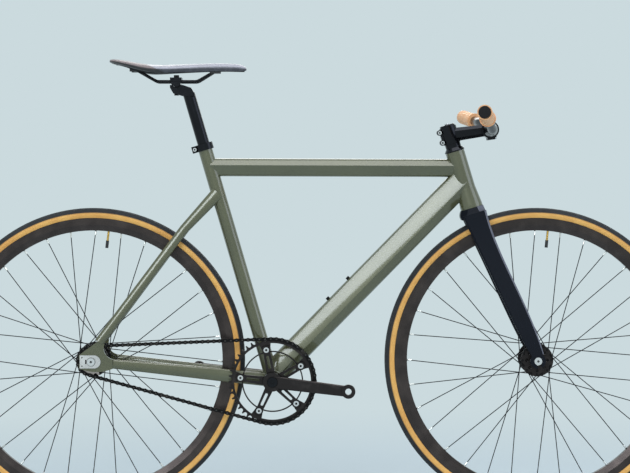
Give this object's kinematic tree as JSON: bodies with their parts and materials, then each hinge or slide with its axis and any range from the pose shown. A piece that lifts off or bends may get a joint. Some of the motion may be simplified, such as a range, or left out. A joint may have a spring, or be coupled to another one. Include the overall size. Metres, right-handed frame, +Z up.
{
  "type": "fixed gear bicycle",
  "caption": "Fixed gear bicycle with a formed tube frame, bladed fork, riser bar, deep rims and a chain drive to a fixed rear cog.",
  "frame": {"origin": "on the ground, midway between the two axles", "axes": "+X forward, +Y to the rider's left, +Z up; the chain is on the -Y side"},
  "size_m": [1.6731, 0.6122, 1.013],
  "materials": {
    "head_tube": "gloss paint",
    "top_tube": "gloss paint",
    "down_tube": "gloss paint",
    "seat_tube": "gloss paint",
    "bottom_bracket_shell": "gloss paint",
    "chain_stays": "gloss paint",
    "seat_stays": "gloss paint",
    "rear_dropouts": "gloss paint",
    "axle_plates": "satin",
    "bottle_screws": "black oxide",
    "chain_outer_links": "black oxide",
    "chain_inner_links": "black oxide",
    "headset_bearings": "polished",
    "crown_race": "polished",
    "star_nut": "polished",
    "top_cap_bolt": "polished",
    "stem_bolts": "polished",
    "front_axle": "polished",
    "front_axle_bolts": "polished",
    "rear_axle": "polished",
    "rear_axle_bolts": "polished",
    "cog": "polished",
    "lockring": "polished",
    "bottom_bracket_spindle": "polished",
    "chainring_bolts": "polished",
    "seat_collar_bolt": "polished",
    "saddle_clamp_bolt": "polished",
    "front_hub_bearings": "polished",
    "rear_hub_bearings": "polished",
    "headset_cover": "black anodised",
    "top_cap": "black anodised",
    "stem": "black anodised",
    "stem_faceplate": "black anodised",
    "handlebar": "black anodised",
    "front_rim": "black anodised",
    "rear_rim": "black anodised",
    "front_hub_shell": "black anodised",
    "rear_hub_shell": "black anodised",
    "bottom_bracket_cups": "black anodised",
    "right_crank": "black anodised",
    "left_crank": "black anodised",
    "chainring": "black anodised",
    "crank_bolts": "black anodised",
    "seat_collar": "black anodised",
    "seatpost": "black anodised",
    "saddle_clamp": "black anodised",
    "front_spokes": "black oxide",
    "rear_spokes": "black oxide",
    "saddle_rails": "black oxide",
    "front_nipples": "nickel plated",
    "rear_nipples": "nickel plated",
    "fork": "satin carbon",
    "grips": "matt",
    "bar_plugs": "matt",
    "saddle_base": "matt",
    "front_tyre": "black tread, tan sidewalls",
    "rear_tyre": "black tread, tan sidewalls",
    "front_inner_tube": "matt",
    "rear_inner_tube": "matt",
    "saddle_cover": "soft sheen"
  },
  "bodies": {
    "frame": {"head_tube": "head_tube", "top_tube": "top_tube", "down_tube": "down_tube", "seat_tube": "seat_tube", "bottom_bracket_shell": "bottom_bracket_shell", "chain_stays": "chain_stays", "seat_stays": "seat_stays", "rear_dropouts": "rear_dropouts", "axle_plates": "axle_plates", "bottle_screws": "bottle_screws", "headset_bearings": "headset_bearings", "rear_axle": "rear_axle", "rear_axle_bolts": "rear_axle_bolts", "bottom_bracket_cups": "bottom_bracket_cups", "chain_outer_links": "chain_outer_links", "chain_inner_links": "chain_inner_links", "seat_collar": "seat_collar", "seat_collar_bolt": "seat_collar_bolt"},
    "steering": {"crown_race": "crown_race", "headset_cover": "headset_cover", "star_nut": "star_nut", "top_cap": "top_cap", "top_cap_bolt": "top_cap_bolt", "fork": "fork", "stem": "stem", "stem_faceplate": "stem_faceplate", "stem_bolts": "stem_bolts", "front_axle": "front_axle", "front_axle_bolts": "front_axle_bolts"},
    "bar": {"handlebar": "handlebar", "grips": "grips", "bar_plugs": "bar_plugs"},
    "front_wheel": {"front_rim": "front_rim", "front_tyre": "front_tyre", "front_inner_tube": "front_inner_tube", "front_spokes": "front_spokes", "front_nipples": "front_nipples", "front_hub_shell": "front_hub_shell", "front_hub_bearings": "front_hub_bearings"},
    "rear_wheel": {"rear_rim": "rear_rim", "rear_tyre": "rear_tyre", "rear_inner_tube": "rear_inner_tube", "rear_spokes": "rear_spokes", "rear_nipples": "rear_nipples", "rear_hub_shell": "rear_hub_shell", "rear_hub_bearings": "rear_hub_bearings", "cog": "cog", "lockring": "lockring"},
    "crankset": {"bottom_bracket_spindle": "bottom_bracket_spindle", "right_crank": "right_crank", "left_crank": "left_crank", "chainring": "chainring", "chainring_bolts": "chainring_bolts", "crank_bolts": "crank_bolts"},
    "seat_post": {"seatpost": "seatpost"},
    "saddle": {"saddle_clamp": "saddle_clamp", "saddle_clamp_bolt": "saddle_clamp_bolt", "saddle_rails": "saddle_rails", "saddle_base": "saddle_base", "saddle_cover": "saddle_cover"}
  },
  "joints": [
    {"name": "steering_turn", "type": "hinge", "parent": "frame", "child": "steering", "pos_m": [0.35224, 0, 0.68074], "axis": [-0.2907, 0, 0.9568], "range_deg": [-80, 80]},
    {"name": "bar_roll", "type": "hinge", "parent": "steering", "child": "bar", "pos_m": [0.39215, 0, 0.8552], "axis": [0, 1, 0], "range_deg": [-15, 15]},
    {"name": "front_wheel_spin", "type": "hinge", "parent": "steering", "child": "front_wheel", "pos_m": [0.49663, 0, 0.34], "axis": [0, 1, 0], "continuous": true},
    {"name": "rear_wheel_spin", "type": "hinge", "parent": "frame", "child": "rear_wheel", "pos_m": [-0.49663, 0, 0.34], "axis": [0, 1, 0], "continuous": true, "deforming": ["chain_outer_links", "chain_inner_links"]},
    {"name": "crank_spin", "type": "hinge", "parent": "frame", "child": "crankset", "pos_m": [-0.09456, 0, 0.2938], "axis": [0, 1, 0], "continuous": true, "deforming": ["chain_outer_links", "chain_inner_links"]},
    {"name": "seatpost_slide", "type": "slide", "parent": "frame", "child": "seat_post", "axis": [-0.2802, 0, 0.96], "range_m": [-0.09, 0.1]},
    {"name": "saddle_tilt", "type": "hinge", "parent": "seat_post", "child": "saddle", "pos_m": [-0.30951, 0, 0.96205], "axis": [0, 1, 0], "range_deg": [-10, 10]}
  ],
  "couplings": [
    {"joint": "crank_spin", "follows": "rear_wheel_spin", "ratio": 0.34043}
  ]
}
